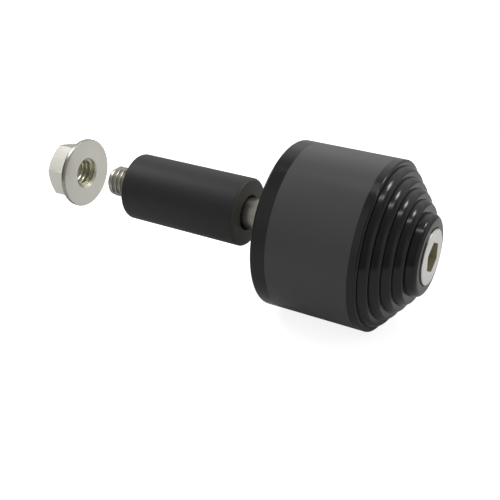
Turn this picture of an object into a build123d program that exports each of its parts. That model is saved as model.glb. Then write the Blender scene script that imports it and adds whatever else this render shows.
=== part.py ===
from build123d import *
import os
from math import radians, tan

# Bar end weight: a stepped, turned head with a long socket head screw through it, the rubber sleeve that
# the screw squeezes wide inside the bar, and the flange nut that pulls on the sleeve, here off the screw.
# The screw's axis is X, with +X towards the nose, and +Z is up. The origin is the centre of the head's
# back face, which sits against the end of the bar. All sizes are in millimetres and degrees.

# Head
head_diameter = 30.6
head_length = 26.7
back_edge_round = 0.4
step_count = 5
step_pitch = 1.37
step_fall = 0.7
step_start_slope = 12.0
step_end_slope = 42.0
step_shoulder_round = 1.8
step_edge_round = 0.35
last_step_length = 1.75
last_wall = 1.3
nose_diameter = 14.8
nose_slope = 8.0
nose_edge_round = 1.0
screw_hole_clearance = 0.25
counterbore_clearance = 0.15

# Screw
screw_diameter = 6.0
screw_length = 60.75
screw_tip_chamfer = 0.6
screw_head_diameter = 10.0
screw_head_height = 6.0
screw_head_proud = 0.35
screw_head_edge_round = 0.25
socket_width = 5.0
socket_depth = 3.0
socket_drill_angle = 118.0
socket_turn = 2.0

# Sleeve
sleeve_diameter = 13.0
sleeve_length = 25.0
sleeve_edge_round = 0.5
sleeve_bore_clearance = 0.3
sleeve_to_head = 8.6

# Flange nut
nut_width = 10.0
nut_height = 5.9
nut_turn = 14.2
nut_to_screw = 7.3
nut_end_chamfer = 0.25
nut_chamfer_angle = 30.0
flange_diameter = 13.9
flange_rim = 0.9
flange_slope = 25.0
flange_edge_round = 0.2
thread_depth = 0.5
nut_countersink = 0.65

# Stations along the axis, from the nose back
seat_x = head_length + screw_head_proud - screw_head_height
screw_tip_x = seat_x - screw_length
sleeve_front_x = -sleeve_to_head
sleeve_back_x = sleeve_front_x - sleeve_length
nut_face_x = screw_tip_x - nut_to_screw
nut_end_x = nut_face_x - nut_height

# Radii
head_radius = head_diameter / 2
screw_radius = screw_diameter / 2
screw_hole_radius = screw_radius + screw_hole_clearance
counterbore_radius = screw_head_diameter / 2 + counterbore_clearance
nose_radius = nose_diameter / 2
step_drop = (head_radius - nose_radius - last_wall) / (step_count - 1)
step_wall = step_drop - step_fall
thread_bore_radius = screw_radius - thread_depth


def turned(points, rounds):
    """Turns a closed profile of (station, radius) points about X, after rounding the corners in rounds."""
    profile = make_face(Polyline(*points, close=True))
    for corner, radius in rounds:
        vertex = profile.vertices().sort_by_distance(Vector(*corner))[0]
        profile = fillet(vertex, radius)
    return revolve(profile, Axis.X)


def hexagon_bar(start_x, length, width, turn):
    """A hexagonal bar along -X, width across its flats, with a corner turned from up towards -Y."""
    up_turned = Vector(0, 0, 1).rotate(Axis.X, turn)
    section_plane = Plane(origin=(start_x, 0, 0), x_dir=up_turned, z_dir=(-1, 0, 0))
    section = RegularPolygon(radius=width / 2, side_count=6, major_radius=False)
    return extrude(section_plane * section, length)


def step_stations():
    """Where each step's wall stands along the axis, from the shoulder to the last one behind the nose."""
    last_x = head_length - last_step_length
    return [last_x - step_pitch * (step_count - 1 - step) for step in range(step_count)]


def shoulder_offset():
    """From a wall's foot to where the ring's two slopes would meet: along the axis, and in towards it."""
    start_fall = tan(radians(step_start_slope))
    end_fall = tan(radians(step_end_slope))
    along = (step_pitch * end_fall - step_fall) / (end_fall - start_fall)
    return along, along * start_fall


def weight_head():
    """The turned weight: a cylinder, then bulging rings stepping down to the nose around the screw's head."""
    shoulder_along, shoulder_in = shoulder_offset()
    outline = [(0, screw_hole_radius), (0, head_radius)]
    rounds = [((0, head_radius), back_edge_round)]
    stations = step_stations()
    for step, station in enumerate(stations):
        edge_radius = head_radius - step * step_drop
        outline.append((station, edge_radius))
        rounds.append(((station, edge_radius), step_edge_round))
        if step < step_count - 1:
            foot_radius = edge_radius - step_wall
            shoulder = (station + shoulder_along, foot_radius - shoulder_in)
            outline.append((station, foot_radius))
            outline.append(shoulder)
            rounds.append((shoulder, step_shoulder_round))
    nose_corner = (head_length, nose_radius - last_step_length * tan(radians(nose_slope)))
    outline.append((stations[-1], nose_radius))
    outline.append(nose_corner)
    rounds.append((nose_corner, nose_edge_round))
    outline.append((head_length, counterbore_radius))
    outline.append((seat_x, counterbore_radius))
    outline.append((seat_x, screw_hole_radius))
    return turned(outline, rounds)


def clamp_screw():
    """The socket head screw, its head standing a little proud of the nose, its shank out through the back."""
    face_x = seat_x + screw_head_height
    head_corner = (face_x, screw_head_diameter / 2)
    body = turned(
        [
            (screw_tip_x, 0),
            (screw_tip_x, screw_radius - screw_tip_chamfer),
            (screw_tip_x + screw_tip_chamfer, screw_radius),
            (seat_x, screw_radius),
            (seat_x, screw_head_diameter / 2),
            head_corner,
            (face_x, 0),
        ],
        [(head_corner, screw_head_edge_round)],
    )
    socket = hexagon_bar(face_x, socket_depth, socket_width, socket_turn)
    floor_x = face_x - socket_depth
    drill_point_x = floor_x - socket_width / 2 / tan(radians(socket_drill_angle / 2))
    drill_point = turned([(floor_x, 0), (floor_x, socket_width / 2), (drill_point_x, 0)], [])
    return body - socket - drill_point


def expander_sleeve():
    """The rubber sleeve around the shank, which swells against the inside of the bar when it is squeezed."""
    bore_radius = screw_radius + sleeve_bore_clearance
    sleeve_radius = sleeve_diameter / 2
    back_corner = (sleeve_back_x, sleeve_radius)
    front_corner = (sleeve_front_x, sleeve_radius)
    return turned(
        [(sleeve_back_x, bore_radius), back_corner, front_corner, (sleeve_front_x, bore_radius)],
        [(back_corner, sleeve_edge_round), (front_corner, sleeve_edge_round)],
    )


def nut_blank():
    """The nut's hexagon on its sloping flange, with the hexagon's end corners turned off."""
    flange_radius = flange_diameter / 2
    flat_radius = nut_width / 2
    rim_back_x = nut_face_x - flange_rim
    slope_end_x = rim_back_x - (flange_radius - flat_radius) * tan(radians(flange_slope))
    flange = turned(
        [
            (nut_face_x, 0),
            (nut_face_x, flange_radius),
            (rim_back_x, flange_radius),
            (slope_end_x, flat_radius),
            (slope_end_x, 0),
        ],
        [((nut_face_x, flange_radius), flange_edge_round), ((rim_back_x, flange_radius), flange_edge_round)],
    )
    end_radius = flat_radius - nut_end_chamfer
    chamfer_foot_x = nut_end_x + (flange_radius - end_radius) * tan(radians(nut_chamfer_angle))
    corner_limit = turned(
        [
            (nut_end_x, 0),
            (nut_end_x, end_radius),
            (chamfer_foot_x, flange_radius),
            (rim_back_x, flange_radius),
            (rim_back_x, 0),
        ],
        [],
    )
    hexagon = hexagon_bar(rim_back_x, nut_height - flange_rim, nut_width, nut_turn)
    return flange + (hexagon & corner_limit)


def flange_nut():
    """The flange nut, its face towards the screw, bored to the thread's crests and countersunk at both ends."""
    mouth_radius = thread_bore_radius + nut_countersink
    bore = turned(
        [
            (nut_face_x, 0),
            (nut_face_x, mouth_radius),
            (nut_face_x - nut_countersink, thread_bore_radius),
            (nut_end_x + nut_countersink, thread_bore_radius),
            (nut_end_x, mouth_radius),
            (nut_end_x, 0),
        ],
        [],
    )
    return nut_blank() - bore


pieces = {
    "weight_head": weight_head(),
    "clamp_screw": clamp_screw(),
    "expander_sleeve": expander_sleeve(),
    "flange_nut": flange_nut(),
}

os.makedirs("parts", exist_ok=True)
for name, piece in pieces.items():
    piece.label = name
    export_step(piece, f"parts/{name}.step")
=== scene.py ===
from math import atan2, cos, hypot, pi, radians, sin, tan

import bmesh
import bpy
from mathutils import Matrix, Vector


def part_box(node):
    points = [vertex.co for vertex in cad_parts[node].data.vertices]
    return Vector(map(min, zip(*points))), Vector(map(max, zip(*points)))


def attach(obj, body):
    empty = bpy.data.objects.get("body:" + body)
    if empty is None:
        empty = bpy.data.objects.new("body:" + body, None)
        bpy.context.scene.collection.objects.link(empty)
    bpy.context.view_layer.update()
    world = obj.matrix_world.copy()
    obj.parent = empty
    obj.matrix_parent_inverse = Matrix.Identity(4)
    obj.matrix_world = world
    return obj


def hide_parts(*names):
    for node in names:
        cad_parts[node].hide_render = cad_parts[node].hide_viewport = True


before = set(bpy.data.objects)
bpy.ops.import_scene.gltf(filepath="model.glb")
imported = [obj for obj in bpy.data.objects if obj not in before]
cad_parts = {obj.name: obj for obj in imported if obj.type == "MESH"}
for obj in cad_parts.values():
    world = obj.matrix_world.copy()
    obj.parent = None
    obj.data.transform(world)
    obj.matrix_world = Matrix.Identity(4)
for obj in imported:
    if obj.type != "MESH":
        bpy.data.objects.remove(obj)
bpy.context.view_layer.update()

# The bar end weight as it is shown: head, screw and sleeve together, the flange nut off the screw's end.
# The screw's axis is X, +X towards the nose, +Z up. Everything is in metres.

MM = 0.001

# Places and sizes that the frame gives
head_low, head_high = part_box("weight_head")
screw_low, screw_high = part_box("clamp_screw")
sleeve_low, sleeve_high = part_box("expander_sleeve")
nut_low, nut_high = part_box("flange_nut")
head_radius = head_high.z
nose_x = head_high.x
screw_tip_x = screw_low.x
screw_face_x = screw_high.x
screw_head_radius = screw_high.z
sleeve_back_x = sleeve_low.x
sleeve_front_x = sleeve_high.x
sleeve_radius = sleeve_high.z
nut_end_x = nut_low.x
nut_face_x = nut_high.x
flange_radius = nut_high.z

# Head
back_edge_round = 0.4 * MM
step_count = 5
step_pitch = 1.37 * MM
step_drop = 1.65 * MM
step_wall = 0.95 * MM
step_start_slope = radians(12)
step_end_slope = radians(42)
step_shoulder_round = 1.8 * MM
step_edge_round = 0.35 * MM
last_step_length = 1.75 * MM
nose_radius = 7.4 * MM
nose_slope = radians(8)
nose_edge_round = 1.0 * MM
screw_hole_clearance = 0.25 * MM
counterbore_clearance = 0.15 * MM
satin_band_start = 2.95 * MM
satin_band_end = 17.9 * MM

# Screw and its thread, one millimetre a turn
screw_radius = 3.0 * MM
screw_head_height = 6.0 * MM
screw_head_edge_round = 0.25 * MM
screw_tip_chamfer = 0.6 * MM
socket_width = 5.0 * MM
socket_depth = 3.0 * MM
socket_drill_angle = radians(118)
socket_turn = radians(2.0)
thread_pitch = 1.0 * MM
thread_length = 24.0 * MM
thread_core_depth = 0.54 * MM
thread_crest_width = 0.125 * MM
thread_flank_angle = radians(30)
thread_sink = 0.05 * MM
# How far back from the screw's end face the painted shade on the shank and head's side begins
shade_free_face_depth = 0.12 * MM
# How far out the painted shade in the socket reaches
socket_shade_radius = 3.0 * MM

# Sleeve
sleeve_edge_round = 0.5 * MM
sleeve_bore_clearance = 0.3 * MM

# Flange nut
nut_width = 10.0 * MM
nut_turn = radians(14.2)
nut_end_chamfer = 0.25 * MM
nut_chamfer_angle = radians(30)
flange_rim = 0.9 * MM
flange_slope = radians(25)
flange_edge_round = 0.2 * MM
nut_thread_depth = 0.5 * MM
nut_countersink = 0.65 * MM
nut_crest_width = 0.25 * MM
# How far out the painted shade in the nut's bore reaches
nut_bore_shade_radius = 3.12 * MM

# How finely round shapes are cut
turn_steps = 192
round_segments = 10
small_round_segments = 5
thread_steps = 64
sharp_angle = radians(35)
same_place = 0.002 * MM

# Places and sizes that follow from those above
seat_x = screw_face_x - screw_head_height
screw_hole_radius = screw_radius + screw_hole_clearance
counterbore_radius = screw_head_radius + counterbore_clearance


# Shapes

def at(station, radius, angle):
    """The point at that station and radius, at an angle from up towards -Y."""
    return Vector((station, -radius * sin(angle), radius * cos(angle)))


def angle_of(point):
    """A point's angle about the axis, from up towards -Y."""
    return atan2(-point.y, point.z)


def turn(bm, outline, closed, start_angle=0.0):
    """Turns an outline of (station, radius) points once round the axis."""
    verts = [bm.verts.new(at(station, radius, start_angle)) for station, radius in outline]
    ends = verts[1:] + verts[:1] if closed else verts[1:]
    edges = [bm.edges.new(pair) for pair in zip(verts, ends)]
    bmesh.ops.spin(bm, geom=verts + edges, axis=(1, 0, 0), angle=2 * pi, steps=turn_steps, use_merge=True)
    bmesh.ops.remove_doubles(bm, verts=bm.verts, dist=same_place)


def circle_edges(bm, station, radius):
    """The edges of the circle at that station and radius."""
    ring = {v for v in bm.verts if abs(v.co.x - station) < same_place
            and abs(hypot(v.co.y, v.co.z) - radius) < same_place}
    return [e for e in bm.edges if ring.issuperset(e.verts)]


def round_edges(bm, edges, radius, segments=round_segments):
    """Rounds edges by bevelling them; radius is how far back the round starts on each side."""
    bmesh.ops.bevel(bm, geom=edges, offset=radius, offset_type="OFFSET", segments=segments, profile=0.5,
                    affect="EDGES", material=-1, clamp_overlap=True)


def round_corner(bm, corner, radius, bend):
    """Rounds a turned corner, where the outline bends by that angle at a (station, radius) place."""
    round_edges(bm, circle_edges(bm, *corner), radius * tan(bend / 2))


def next_ring(bm, edges, place):
    """Extrudes a ring of edges; place gives each new point's (station, radius) from its angle."""
    made = bmesh.ops.extrude_edge_only(bm, edges=edges)["geom"]
    ring = {v for v in made if isinstance(v, bmesh.types.BMVert)}
    for vert in ring:
        angle = angle_of(vert.co)
        vert.co = at(*place(angle), angle)
    return [e for e in made if isinstance(e, bmesh.types.BMEdge) and ring.issuperset(e.verts)]


def hexagon_reach(angle, flat_radius, turned_by):
    """How far a hexagon's side stands from the axis at an angle, with a corner at turned_by."""
    return flat_radius / cos((angle - turned_by) % (pi / 3) - pi / 6)


def add_thread(bm, start_x, end_x, root_radius, crest_radius, crest_width, limit):
    """Adds a right-hand thread ridge between two stations.

    It stands out from its root or in, and limit gives the radius that it may reach at a station.
    """
    rise = crest_radius - root_radius
    outward = 1 if rise > 0 else -1
    base_radius = root_radius - outward * thread_sink
    crest_half = crest_width / 2
    base_half = crest_half + (abs(rise) + thread_sink) * tan(thread_flank_angle)
    # One more turn at each end, cut off at the stations below
    first_x = start_x - thread_pitch
    turns = round((end_x - start_x) / thread_pitch) + 2
    section = [
        (first_x - base_half, base_radius),
        (first_x - crest_half, crest_radius),
        (first_x + crest_half, crest_radius),
        (first_x + base_half, base_radius),
    ]
    ridge = bmesh.new()
    verts = [ridge.verts.new(at(station, radius, 0)) for station, radius in section]
    edges = [ridge.edges.new(pair) for pair in zip(verts, verts[1:] + verts[:1])]
    bmesh.ops.spin(ridge, geom=verts + edges, axis=(1, 0, 0), angle=2 * pi * turns,
                   steps=thread_steps * turns, dvec=(thread_pitch / thread_steps, 0, 0))
    for station, direction in ((start_x, -1), (end_x, 1)):
        bmesh.ops.bisect_plane(ridge, geom=ridge.verts[:] + ridge.edges[:] + ridge.faces[:],
                               plane_co=(station, 0, 0), plane_no=(direction, 0, 0), clear_outer=True)
    ends = bmesh.ops.holes_fill(ridge, edges=[e for e in ridge.edges if e.is_boundary])
    bmesh.ops.triangulate(ridge, faces=ends["faces"])
    for vert in ridge.verts:
        radius = hypot(vert.co.y, vert.co.z)
        allowed = limit(vert.co.x)
        if outward * (radius - allowed) > 0:
            vert.co.y *= allowed / radius
            vert.co.z *= allowed / radius
    bmesh.ops.recalc_face_normals(ridge, faces=ridge.faces)
    coil = bpy.data.meshes.new("thread")
    ridge.to_mesh(coil)
    ridge.free()
    bm.from_mesh(coil)
    bpy.data.meshes.remove(coil)


def finish_piece(bm, node, material):
    """Makes the piece that stands for a CAD node, with crisp sharp edges and even shading on its flats."""
    mesh = bpy.data.meshes.new(node + "_finished")
    bm.to_mesh(mesh)
    bm.free()
    mesh.shade_smooth()
    mesh.set_sharp_from_angle(angle=sharp_angle)
    mesh.materials.append(material)
    piece = bpy.data.objects.new(node + "_finished", mesh)
    bpy.context.collection.objects.link(piece)
    shading = piece.modifiers.new("even_shading", "WEIGHTED_NORMAL")
    shading.keep_sharp = True
    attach(piece, "root")
    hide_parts(node)


def make_head(material):
    """The turned weight, with bulging rings that step down to the nose round the screw's head."""
    square = radians(90)
    start_fall, end_fall = tan(step_start_slope), tan(step_end_slope)
    shoulder_along = (step_pitch * end_fall - (step_drop - step_wall)) / (end_fall - start_fall)
    shoulder_in = shoulder_along * start_fall
    last_step_x = nose_x - last_step_length
    nose_corner = (nose_x, nose_radius - last_step_length * tan(nose_slope))
    outline = [(0, screw_hole_radius), (0, head_radius)]
    rounds = [((0, head_radius), back_edge_round, square)]
    for step in range(step_count):
        edge_corner = (last_step_x - step_pitch * (step_count - 1 - step), head_radius - step * step_drop)
        outline.append(edge_corner)
        rounds.append((edge_corner, step_edge_round, square if step == 0 else square - step_end_slope))
        if step < step_count - 1:
            foot = (edge_corner[0], edge_corner[1] - step_wall)
            shoulder = (foot[0] + shoulder_along, foot[1] - shoulder_in)
            outline += [foot, shoulder]
            rounds.append((shoulder, step_shoulder_round, step_end_slope - step_start_slope))
    outline += [(last_step_x, nose_radius), nose_corner, (nose_x, counterbore_radius)]
    rounds.append((nose_corner, nose_edge_round, square - nose_slope))
    outline += [(seat_x, counterbore_radius), (seat_x, screw_hole_radius)]
    bm = bmesh.new()
    turn(bm, outline, closed=True)
    for corner, radius, bend in rounds:
        round_corner(bm, corner, radius, bend)
    bmesh.ops.recalc_face_normals(bm, faces=bm.faces)
    finish_piece(bm, "weight_head", material)


def make_screw(material):
    """The socket head screw, its thread cut back at the chamfered tip."""
    core_radius = screw_radius - thread_core_depth
    tip_radius = screw_radius - screw_tip_chamfer
    thread_end_x = screw_tip_x + thread_length
    socket_floor_x = screw_face_x - socket_depth
    flat_radius = socket_width / 2
    drill_depth = flat_radius / tan(socket_drill_angle / 2)
    bm = bmesh.new()
    turn(bm, [
        (screw_tip_x, 0),
        (screw_tip_x, tip_radius),
        (screw_tip_x + core_radius - tip_radius, core_radius),
        (thread_end_x, core_radius),
        (thread_end_x + thread_core_depth, screw_radius),
        (seat_x, screw_radius),
        (seat_x, screw_head_radius),
        (screw_face_x, screw_head_radius),
    ], closed=False, start_angle=socket_turn)
    ring = circle_edges(bm, screw_face_x, screw_head_radius)
    ring = next_ring(bm, ring, lambda a: (screw_face_x, hexagon_reach(a, flat_radius, socket_turn)))
    ring = next_ring(bm, ring, lambda a: (socket_floor_x, hexagon_reach(a, flat_radius, socket_turn)))
    ring = next_ring(bm, ring, lambda a: (socket_floor_x, flat_radius))
    next_ring(bm, ring, lambda a: (socket_floor_x - drill_depth, 0))
    bmesh.ops.remove_doubles(bm, verts=bm.verts, dist=same_place)
    round_edges(bm, circle_edges(bm, screw_face_x, screw_head_radius),
                screw_head_edge_round, small_round_segments)
    bmesh.ops.recalc_face_normals(bm, faces=bm.faces)
    add_thread(bm, screw_tip_x, thread_end_x, core_radius, screw_radius, thread_crest_width,
               lambda x: min(screw_radius, tip_radius + x - screw_tip_x))
    finish_piece(bm, "clamp_screw", material)


def make_sleeve(material):
    """The rubber sleeve, square ended with soft edges."""
    bore_radius = screw_radius + sleeve_bore_clearance
    bm = bmesh.new()
    turn(bm, [
        (sleeve_back_x, bore_radius),
        (sleeve_back_x, sleeve_radius),
        (sleeve_front_x, sleeve_radius),
        (sleeve_front_x, bore_radius),
    ], closed=True)
    for station in (sleeve_back_x, sleeve_front_x):
        round_edges(bm, circle_edges(bm, station, sleeve_radius), sleeve_edge_round)
    bmesh.ops.recalc_face_normals(bm, faces=bm.faces)
    finish_piece(bm, "expander_sleeve", material)


def make_nut(material):
    """The flange nut: a hexagon on a sloping flange, its end corners turned off, threaded through."""
    flat_radius = nut_width / 2
    end_radius = flat_radius - nut_end_chamfer
    rim_back_x = nut_face_x - flange_rim
    root_radius = screw_radius
    mouth_radius = root_radius - nut_thread_depth + nut_countersink
    mouth_depth = mouth_radius - root_radius

    def reach(angle):
        return hexagon_reach(angle, flat_radius, nut_turn)

    def slope_foot(angle):
        return rim_back_x - (flange_radius - reach(angle)) * tan(flange_slope), reach(angle)

    def chamfer_foot(angle):
        return nut_end_x + (reach(angle) - end_radius) * tan(nut_chamfer_angle), reach(angle)

    bm = bmesh.new()
    across_x = Matrix.Rotation(pi / 2, 4, "Y")
    place = Matrix.Translation((nut_face_x, 0, 0)) @ Matrix.Rotation(nut_turn, 4, "X") @ across_x
    bmesh.ops.create_circle(bm, segments=turn_steps, radius=flange_radius, matrix=place)
    face_ring = bm.edges[:]
    ring = next_ring(bm, face_ring, lambda a: (rim_back_x, flange_radius))
    ring = next_ring(bm, ring, slope_foot)
    ring = next_ring(bm, ring, chamfer_foot)
    ring = next_ring(bm, ring, lambda a: (nut_end_x, end_radius))
    ring = next_ring(bm, ring, lambda a: (nut_end_x, mouth_radius))
    ring = next_ring(bm, ring, lambda a: (nut_end_x + mouth_depth, root_radius))
    ring = next_ring(bm, ring, lambda a: (nut_face_x - mouth_depth, root_radius))
    ring = next_ring(bm, ring, lambda a: (nut_face_x, mouth_radius))
    bmesh.ops.bridge_loops(bm, edges=face_ring + ring)
    bmesh.ops.recalc_face_normals(bm, faces=bm.faces)
    for station in (nut_face_x, rim_back_x):
        round_edges(bm, circle_edges(bm, station, flange_radius), flange_edge_round, small_round_segments)
    crest_radius = root_radius - nut_thread_depth
    add_thread(bm, nut_end_x, nut_face_x, root_radius, crest_radius, nut_crest_width,
               lambda x: max(crest_radius, mouth_radius - min(nut_face_x - x, x - nut_end_x)))
    finish_piece(bm, "flange_nut", material)


# Finishes

def new_material(name):
    """A node material: itself, its tree and its Principled shader."""
    material = bpy.data.materials.new(name)
    material.use_nodes = True
    return material, material.node_tree, material.node_tree.nodes["Principled BSDF"]


def feed(tree, socket, value):
    """Links an input to another node's output, or gives it a plain value."""
    if isinstance(value, bpy.types.NodeSocket):
        tree.links.new(value, socket)
    else:
        socket.default_value = value


def add_node(tree, kind, **values):
    """Adds a node; values are its settings, or what feeds its inputs, with _ for a space in their names."""
    node = tree.nodes.new(kind)
    for name, value in values.items():
        if hasattr(node, name):
            setattr(node, name, value)
        else:
            feed(tree, node.inputs[name.replace("_", " ")], value)
    return node


def place_group(tree, group, **values):
    """Adds a node that stands for a node group, with its inputs' values."""
    return add_node(tree, "ShaderNodeGroup", node_tree=group, **values)


def math_node(tree, operation, *values):
    """A Math node; gives its output."""
    node = add_node(tree, "ShaderNodeMath", operation=operation)
    for socket, value in zip(node.inputs, values):
        feed(tree, socket, value)
    return node.outputs[0]


def mix_numbers(tree, factor, first, second):
    """From the first number to the second, as factor goes from nought to one."""
    node = add_node(tree, "ShaderNodeMix", data_type="FLOAT")
    for index, value in ((0, factor), (2, first), (3, second)):
        feed(tree, node.inputs[index], value)
    return node.outputs[0]


def mix_colours(tree, factor, first, second, blend_type="MIX"):
    """The second colour over the first, as far as factor says; a plain colour is (red, green, blue)."""
    node = add_node(tree, "ShaderNodeMix", data_type="RGBA", blend_type=blend_type)
    feed(tree, node.inputs[0], factor)
    for index, colour in ((6, first), (7, second)):
        feed(tree, node.inputs[index], (*colour, 1) if isinstance(colour, tuple) else colour)
    return node.outputs[2]


def station_and_radius(tree):
    """Sockets for how far along the axis a point lies, and how far out from it."""
    place = add_node(tree, "ShaderNodeTexCoord")
    split = add_node(tree, "ShaderNodeSeparateXYZ", Vector=place.outputs["Object"])
    across = math_node(tree, "ADD", math_node(tree, "MULTIPLY", split.outputs["Y"], split.outputs["Y"]),
                       math_node(tree, "MULTIPLY", split.outputs["Z"], split.outputs["Z"]))
    return split.outputs["X"], math_node(tree, "SQRT", across)


def new_group(name, inputs, outputs):
    """A node group whose sockets are numbers: itself, what it is given and what it gives."""
    group = bpy.data.node_groups.new(name, "ShaderNodeTree")
    for in_out, socket_names in (("INPUT", inputs), ("OUTPUT", outputs)):
        for socket_name in socket_names:
            group.interface.new_socket(name=socket_name, in_out=in_out, socket_type="NodeSocketFloat")
    return group, group.nodes.new("NodeGroupInput"), group.nodes.new("NodeGroupOutput")


def surface_grain_group():
    """Fine uneven grain: a roughness that wanders a little, a height for a bump and a broad mask."""
    fine_share = 0.6
    broad_scale = 0.12
    middle = 0.5
    group, given, result = new_group(
        "surface_grain", ("Grains per mm", "Roughness", "Wander"), ("Roughness", "Height", "Mask"))
    place = add_node(group, "ShaderNodeTexCoord").outputs["Object"]
    per_metre = math_node(group, "MULTIPLY", given.outputs["Grains per mm"], 1 / MM)
    per_metre_broad = math_node(group, "MULTIPLY", per_metre, broad_scale)
    fine = add_node(group, "ShaderNodeTexNoise", Vector=place, Scale=per_metre,
                    Detail=3.0, Roughness=0.6)
    broad = add_node(group, "ShaderNodeTexNoise", Vector=place, Scale=per_metre_broad,
                     Detail=2.0, Roughness=0.5)
    mixed = math_node(group, "ADD", math_node(group, "MULTIPLY", fine.outputs[0], fine_share),
                      math_node(group, "MULTIPLY", broad.outputs[0], 1 - fine_share))
    centred = math_node(group, "SUBTRACT", mixed, middle)
    wander = math_node(group, "MULTIPLY", centred, given.outputs["Wander"])
    roughness = math_node(group, "ADD", given.outputs["Roughness"], wander)
    feed(group, result.inputs["Roughness"], roughness)
    feed(group, result.inputs["Height"], fine.outputs[0])
    feed(group, result.inputs["Mask"], broad.outputs[0])
    return group


def tool_marks_group():
    """Faint turning marks that run round the screw's axis: a height for a bump."""
    group, given, result = new_group("tool_marks", ("Marks per mm",), ("Height",))
    station, radius = station_and_radius(group)
    section = add_node(group, "ShaderNodeCombineXYZ", X=station, Y=radius)
    per_metre = math_node(group, "MULTIPLY", given.outputs["Marks per mm"], 1 / MM)
    marks = add_node(group, "ShaderNodeTexNoise", Vector=section.outputs[0], Scale=per_metre,
                     Detail=4.0, Roughness=0.7)
    feed(group, result.inputs["Height"], marks.outputs[0])
    return group


def add_bump(tree, shader, height, strength, depth):
    """Roughens the shader's normal with a height."""
    bump = add_node(tree, "ShaderNodeBump", Strength=strength, Distance=depth, Height=height)
    feed(tree, shader.inputs["Normal"], bump.outputs[0])


def black_coat(grain, marks):
    """Gloss black on the head, with a satin band round its cylinder."""
    gloss_colour, gloss_roughness = (0.003, 0.003, 0.0031), 0.17
    satin_colour, satin_roughness = (0.056, 0.056, 0.0564), 0.31
    gloss_grain_share = 0.2
    material, tree, shader = new_material("black_coat")
    shader.inputs["Specular IOR Level"].default_value = 0.375
    station, _ = station_and_radius(tree)
    after_start = math_node(tree, "GREATER_THAN", station, satin_band_start)
    before_end = math_node(tree, "LESS_THAN", station, satin_band_end)
    band = math_node(tree, "MULTIPLY", after_start, before_end)
    texture = place_group(tree, grain, Grains_per_mm=3.0, Roughness=0.0, Wander=0.14)
    wander = texture.outputs["Roughness"]
    satin = math_node(tree, "ADD", satin_roughness, wander)
    gloss = math_node(tree, "ADD", gloss_roughness, math_node(tree, "MULTIPLY", wander, gloss_grain_share))
    feed(tree, shader.inputs["Roughness"], mix_numbers(tree, band, gloss, satin))
    feed(tree, shader.inputs["Base Color"], mix_colours(tree, band, gloss_colour, satin_colour))
    turning = place_group(tree, marks, Marks_per_mm=9.0)
    add_bump(tree, shader, turning.outputs["Height"], strength=0.12, depth=0.004 * MM)
    return material


def steel(name, colour, painted_shade_places, grain, marks):
    """Steel, slightly uneven and faintly turned.

    The places given are (where, colour) pairs, each a place whose colour carries painted shade or a painted
    reflection.
    """
    tone_spread = 0.07
    darker = tuple(channel * (1 - tone_spread) for channel in colour)
    lighter = tuple(channel * (1 + tone_spread) for channel in colour)
    material, tree, shader = new_material(name)
    shader.inputs["Metallic"].default_value = 1.0
    texture = place_group(tree, grain, Grains_per_mm=2.0, Roughness=0.305, Wander=0.1)
    feed(tree, shader.inputs["Roughness"], texture.outputs["Roughness"])
    shade = mix_colours(tree, texture.outputs["Mask"], darker, lighter)
    station, radius = station_and_radius(tree)
    # Painted shade and painted reflections, laid over the steel place by place
    for where, place_colour in painted_shade_places:
        shade = mix_colours(tree, where(tree, station, radius), shade, place_colour)
    feed(tree, shader.inputs["Base Color"], shade)
    turning = place_group(tree, marks, Marks_per_mm=7.0)
    add_bump(tree, shader, turning.outputs["Height"], strength=0.15, depth=0.004 * MM)
    return material


def shade_painted_behind_screw_face(tree, station, radius):
    """The screw back from its end face: the shank and the head's side, where the colour is painted shade."""
    return math_node(tree, "LESS_THAN", station, screw_face_x - shade_free_face_depth)


def shade_painted_on_thread(tree, station, radius):
    """The screw's thread, where the colour is painted shade, lighter than on the shank and darker than on
    the end face.
    """
    return math_node(tree, "LESS_THAN", station, screw_tip_x + thread_length)


def shade_painted_in_socket(tree, station, radius):
    """The socket's walls and floor, darker and more olive: painted shade in the recess."""
    in_head = math_node(tree, "GREATER_THAN", station, seat_x)
    below_face = math_node(tree, "LESS_THAN", station, screw_face_x - same_place)
    within = math_node(tree, "LESS_THAN", radius, socket_shade_radius)
    return math_node(tree, "MULTIPLY", math_node(tree, "MULTIPLY", in_head, below_face), within)


def shade_painted_in_nut_bore(tree, station, radius):
    """The nut's thread and its countersinks, darker and more olive: painted shade in the bore."""
    return math_node(tree, "LESS_THAN", radius, nut_bore_shade_radius)


def reflection_painted_on_flange_rim(tree, station, radius):
    """The flange's rim, between its two rounded edges, darkened all round: a painted dark reflection, which
    also dims its highlights.
    """
    return math_node(tree, "GREATER_THAN", radius, flange_radius - flange_edge_round / 2)


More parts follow.
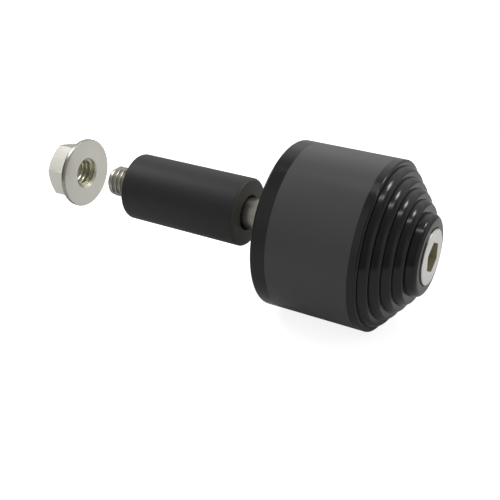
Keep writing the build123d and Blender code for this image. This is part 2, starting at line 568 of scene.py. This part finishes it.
def black_rubber(grain):
    """Moulded black rubber with a soft sheen; its end faces are lighter and warmer, painted light and
    reflection, but not at the edge of its bore.
    """
    dark, light = (0.018, 0.018, 0.018), (0.0225, 0.0225, 0.0222)
    # Painted light: the end faces' lighter, warmer colour stands in for light and reflections reaching them
    painted_end_light_colour = (0.11, 0.104, 0.09)
    painted_end_light_reach = 0.4 * MM
    bore_edge = 0.2 * MM
    material, tree, shader = new_material("black_rubber")
    shader.inputs["Specular IOR Level"].default_value = 0.33
    texture = place_group(tree, grain, Grains_per_mm=6.0, Roughness=0.5, Wander=0.15)
    feed(tree, shader.inputs["Roughness"], texture.outputs["Roughness"])
    tone = mix_colours(tree, texture.outputs["Mask"], dark, light)
    station, radius = station_and_radius(tree)
    middle_x = (sleeve_front_x + sleeve_back_x) / 2
    half_length = sleeve_front_x - middle_x
    off_middle = math_node(tree, "ABSOLUTE", math_node(tree, "SUBTRACT", station, middle_x))
    near_end = add_node(tree, "ShaderNodeMapRange", interpolation_type="SMOOTHSTEP", Value=off_middle,
                        From_Min=half_length - painted_end_light_reach, From_Max=half_length - same_place)
    bore_radius = screw_radius + sleeve_bore_clearance
    clear_of_bore = math_node(tree, "GREATER_THAN", radius, bore_radius + bore_edge)
    # Where the painted light on the end faces goes
    painted_end_light = math_node(tree, "MULTIPLY", near_end.outputs[0], clear_of_bore)
    feed(tree, shader.inputs["Base Color"], mix_colours(tree, painted_end_light, tone, painted_end_light_colour))
    add_bump(tree, shader, texture.outputs["Height"], strength=0.2, depth=0.01 * MM)
    return material


# Studio

def seen_directly(tree):
    """One for camera, mirror and glass rays and nought for the others, and the Light Path node itself."""
    path = add_node(tree, "ShaderNodeLightPath")
    shown = math_node(tree, "MAXIMUM", path.outputs["Is Camera Ray"], path.outputs["Is Glossy Ray"])
    return math_node(tree, "MAXIMUM", shown, path.outputs["Is Transmission Ray"]), path


def add_floor():
    """A round pale floor just under the head, white to the camera, dimmer in mirrors, softly shaded."""
    reach = 110 * MM
    gap = 0.02 * MM
    shown_glow = 0.85
    mirrored_glow = 0.09
    shade_reach = 30 * MM
    bm = bmesh.new()
    bmesh.ops.create_circle(bm, cap_ends=True, segments=96, radius=reach,
                            matrix=Matrix.Translation((0, 0, head_low.z - gap)))
    mesh = bpy.data.meshes.new("floor")
    bm.to_mesh(mesh)
    bm.free()
    floor = bpy.data.objects.new("floor", mesh)
    bpy.context.collection.objects.link(floor)
    material, tree, shader = new_material("floor")
    shader.inputs["Base Color"].default_value = (0.6, 0.6, 0.6, 1)
    shader.inputs["Roughness"].default_value = 1.0
    shader.inputs["Specular IOR Level"].default_value = 0.0
    seen, path = seen_directly(tree)
    shade = add_node(tree, "ShaderNodeAmbientOcclusion", Distance=shade_reach, samples=8)
    in_mirror = math_node(tree, "MULTIPLY", shade.outputs["AO"], mirrored_glow)
    level = mix_numbers(tree, path.outputs["Is Glossy Ray"], shown_glow, in_mirror)
    glow = add_node(tree, "ShaderNodeEmission", Strength=level)
    both = add_node(tree, "ShaderNodeAddShader")
    tree.links.new(shader.outputs[0], both.inputs[0])
    tree.links.new(glow.outputs[0], both.inputs[1])
    choose = add_node(tree, "ShaderNodeMixShader")
    tree.links.new(seen, choose.inputs[0])
    tree.links.new(shader.outputs[0], choose.inputs[1])
    tree.links.new(both.outputs[0], choose.inputs[2])
    tree.links.new(choose.outputs[0], tree.nodes["Material Output"].inputs["Surface"])
    mesh.materials.append(material)


def level_ramp(tree, place, levels):
    """A ramp of grey levels, given as (place, level) pairs with the places from 0 to 1; gives its output."""
    node = add_node(tree, "ShaderNodeValToRGB", Fac=place)
    node.color_ramp.interpolation = "EASE"
    stops = node.color_ramp.elements
    while len(stops) < len(levels):
        stops.new(0.5)
    for stop, (stop_place, level) in zip(stops, levels):
        stop.position = stop_place
        stop.color = (level, level, level, 1)
    return node.outputs[0]


def light_studio():
    """A soft, plain room, darker in front where the camera stands, and white to camera and glass rays.

    around_levels gives (degrees round X from up towards -Y, level) and along_levels (share along X, level).
    """
    around_levels = (
        (-180, 0.4), (-105, 0.3), (-83, 0.5), (-59, 0.96), (-38, 0.93), (-17, 0.48), (10, 0.5),
        (35, 0.75), (62, 0.75), (87, 0.62), (120, 0.66), (142, 0.46), (180, 0.38))
    along_levels = (
        (-1.0, 0.08), (-0.64, 0.08), (-0.5, 0.78), (-0.43, 1.03), (-0.25, 1.03), (-0.1, 0.55),
        (0.15, 0.45), (0.45, 0.45), (0.65, 0.5), (0.88, 1.0), (1.0, 1.0))
    full_front = 0.55
    white = (1, 1, 1)
    world = bpy.data.worlds.new("studio")
    bpy.context.scene.world = world
    world.use_nodes = True
    tree = world.node_tree
    place = add_node(tree, "ShaderNodeTexCoord")
    split = add_node(tree, "ShaderNodeSeparateXYZ", Vector=place.outputs["Generated"])
    forward = math_node(tree, "MULTIPLY", split.outputs["Y"], -1.0)
    round_axis = math_node(tree, "ARCTAN2", forward, split.outputs["Z"])
    part_around = math_node(tree, "MULTIPLY_ADD", round_axis, 0.5 / pi, 0.5)
    part_along = math_node(tree, "MULTIPLY_ADD", split.outputs["X"], 0.5, 0.5)
    around = level_ramp(tree, part_around, [((angle + 180) / 360, level) for angle, level in around_levels])
    along = level_ramp(tree, part_along, [((part + 1) / 2, level) for part, level in along_levels])
    in_front = add_node(tree, "ShaderNodeMapRange", interpolation_type="SMOOTHSTEP", Value=forward,
                        From_Min=0.0, From_Max=full_front)
    room = mix_colours(tree, in_front.outputs[0], around, along, blend_type="MULTIPLY")
    seen, path = seen_directly(tree)
    backdrop = mix_colours(tree, path.outputs["Is Glossy Ray"], white, room)
    feed(tree, tree.nodes["Background"].inputs["Color"], mix_colours(tree, seen, room, backdrop))


def add_softbox(name, direction, distance, width, depth, brightness):
    """A soft rectangular lamp that looks at the middle of the head."""
    aim = Vector((nose_x / 2, 0, 0))
    data = bpy.data.lights.new(name, "AREA")
    data.shape = "RECTANGLE"
    data.size = width
    data.size_y = depth
    data.energy = brightness * pi * width * depth
    lamp = bpy.data.objects.new(name, data)
    direction = Vector(direction).normalized()
    facing = direction.to_track_quat("Z", "Y").to_matrix().to_4x4()
    lamp.matrix_world = Matrix.Translation(aim + direction * distance) @ facing
    bpy.context.collection.objects.link(lamp)


def add_camera():
    """The camera at the shown viewing angle."""
    place = Vector((63.82, -127.85, 70.24)) * MM
    right = Vector((0.87065, 0.49191, 0.0))
    up = Vector((-0.23102, 0.40889, 0.88286))
    back = right.cross(up)
    data = bpy.data.cameras.new("camera")
    data.lens = 62.65
    data.sensor_width = 36.0
    data.clip_start = 0.005
    camera = bpy.data.objects.new("camera", data)
    turned = Matrix((right, up, back)).transposed().to_4x4()
    camera.matrix_world = Matrix.Translation(place) @ turned
    bpy.context.collection.objects.link(camera)
    bpy.context.scene.camera = camera


# Painted shade and painted reflections in the steel's colour; each place's colour goes over those before it.
screw_painted_shades = (
    # Painted shade: the shank and the head's side darkened, where the head and sleeve shade them
    (shade_painted_behind_screw_face, (0.32, 0.312, 0.275)),
    # Painted shade on the thread, lighter than on the shank
    (shade_painted_on_thread, (0.47, 0.46, 0.41)),
    # Painted shade in the socket
    (shade_painted_in_socket, (0.68, 0.66, 0.54)),
)
nut_painted_shades = (
    # Painted shade in the nut's bore
    (shade_painted_in_nut_bore, (0.61, 0.59, 0.47)),
    # Painted dark reflection on the flange's rim
    (reflection_painted_on_flange_rim, (0.37, 0.355, 0.3)),
)
# Name, direction from the head, distance, width and depth in metres, and brightness
softboxes = (
    ("key_softbox", (0.26, 0.41, 0.875), 0.6, 0.13, 0.13, 13.0),
    ("sleeve_softbox", (-0.7, -0.04, 0.712), 0.3, 0.12, 0.08, 6.2),
    ("back_softbox", (-0.28, 0.16, 0.94), 0.6, 0.14, 0.14, 1.2),
    ("strip_softbox", (0.21, 0.05, 0.976), 0.6, 0.055, 0.3, 6.5),
)

grain = surface_grain_group()
marks = tool_marks_group()
make_head(black_coat(grain, marks))
make_screw(steel("bright_steel", (0.82, 0.81, 0.765), screw_painted_shades, grain, marks))
make_sleeve(black_rubber(grain))
make_nut(steel("plated_steel", (0.725, 0.71, 0.64), nut_painted_shades, grain, marks))
add_floor()
light_studio()
for softbox in softboxes:
    add_softbox(*softbox)
add_camera()
bpy.context.scene.view_settings.view_transform = "Standard"
